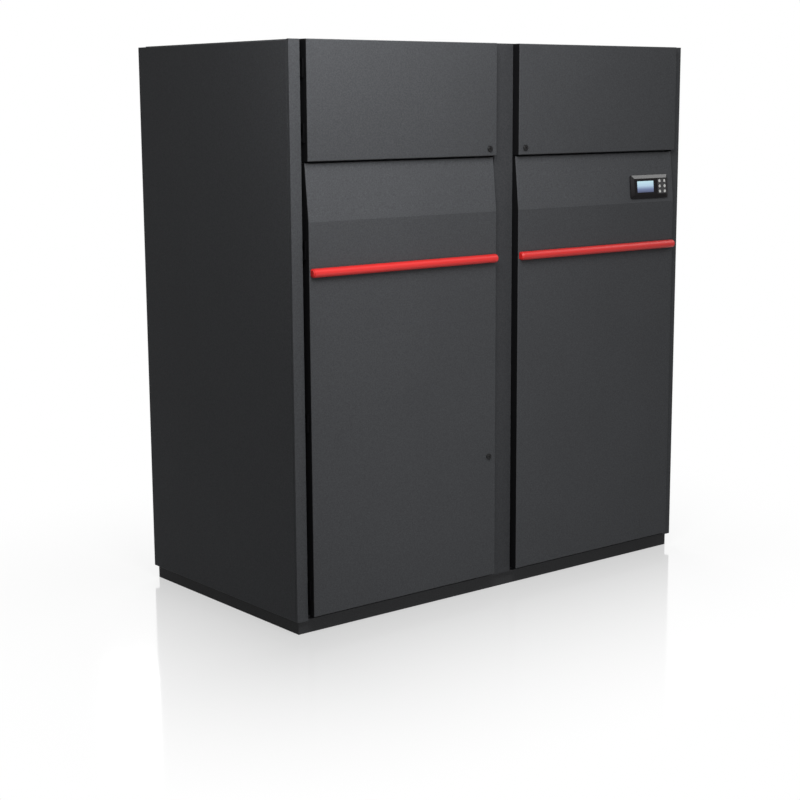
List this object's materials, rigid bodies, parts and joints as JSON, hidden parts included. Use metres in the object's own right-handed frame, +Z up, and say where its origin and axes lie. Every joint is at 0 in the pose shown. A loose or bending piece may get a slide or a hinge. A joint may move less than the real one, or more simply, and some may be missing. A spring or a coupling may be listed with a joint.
{
  "type": "computer room air conditioner",
  "caption": "Floor-standing downflow cooling cabinet with hinged front doors, a top air intake with filters, a slanted coil and plug fans over floor outlets.",
  "frame": {"origin": "on the floor, under the middle of the whole box", "axes": "+X along the front to the right, +Y from the doors to the back, +Z up"},
  "size_m": [1.83, 0.973, 1.955],
  "materials": {
    "plinth": "dark satin paint",
    "powder_coat": "charcoal textured powder coat",
    "galvanised": "galvanised sheet",
    "coil_fins": "thin bare fins",
    "foam": "faced acoustic foam",
    "trim_red": "glossy red extrusion",
    "lock_black": "moulded black",
    "controller_black": "moulded black",
    "screen": "backlit display",
    "keys": "soft-touch keys on a dark pad",
    "hinge_steel": "black zinc",
    "filter_media": "pleated synthetic media in a card frame",
    "fan_blades": "dark coated aluminium",
    "motor": "dark coated castings and brackets"
  },
  "bodies": {
    "cabinet": {"plinth": "plinth", "base_rails": "plinth", "base_cross_rails": "plinth", "door_sill": "plinth", "top_frame": "powder_coat", "post_front_left": "powder_coat", "post_front_right": "powder_coat", "post_front_middle": "powder_coat", "post_rear_left": "galvanised", "post_rear_right": "galvanised", "post_rear_middle": "galvanised", "transom_left": "powder_coat", "transom_right": "powder_coat", "side_panel_left": "powder_coat", "side_panel_right": "powder_coat", "rear_panel_left": "powder_coat", "rear_panel_right": "powder_coat", "hinge_posts_left": "hinge_steel", "hinge_posts_right": "hinge_steel", "filter_left": "filter_media", "filter_right": "filter_media", "fan_deck": "galvanised", "fan_impeller_left": "fan_blades", "fan_impeller_right": "fan_blades", "fan_motor_left": "motor", "fan_motor_right": "motor", "drain_tray": "galvanised", "cooling_coil": "coil_fins", "electrical_box": "galvanised"},
    "upper_left_door": {"door_upper_left": "powder_coat", "liner_upper_left": "foam", "lock_upper_left": "lock_black", "hinge_upper_left": "hinge_steel"},
    "upper_right_door": {"door_upper_right": "powder_coat", "liner_upper_right": "foam", "lock_upper_right": "lock_black", "hinge_upper_right": "hinge_steel"},
    "lower_left_door": {"door_lower_left": "powder_coat", "liner_lower_left": "foam", "lock_lower_left": "lock_black", "hinge_lower_left": "hinge_steel", "trim_bar_left": "trim_red"},
    "lower_right_door": {"door_lower_right": "powder_coat", "liner_lower_right": "foam", "hinge_lower_right": "hinge_steel", "trim_bar_right": "trim_red", "controller_housing": "controller_black", "controller_screen": "screen", "controller_keypad": "keys"}
  },
  "joints": [
    {"name": "upper_left_door_hinge", "type": "hinge", "parent": "cabinet", "child": "upper_left_door", "pos_m": [-0.868, -0.4495, 0], "axis": [0, 0, -1], "range_deg": [0, 110]},
    {"name": "upper_right_door_hinge", "type": "hinge", "parent": "cabinet", "child": "upper_right_door", "pos_m": [0.868, -0.4495, 0], "axis": [0, 0, 1], "range_deg": [0, 110]},
    {"name": "lower_left_door_hinge", "type": "hinge", "parent": "cabinet", "child": "lower_left_door", "pos_m": [-0.868, -0.4495, 0], "axis": [0, 0, -1], "range_deg": [0, 110]},
    {"name": "lower_right_door_hinge", "type": "hinge", "parent": "cabinet", "child": "lower_right_door", "pos_m": [0.868, -0.4495, 0], "axis": [0, 0, 1], "range_deg": [0, 110]}
  ]
}
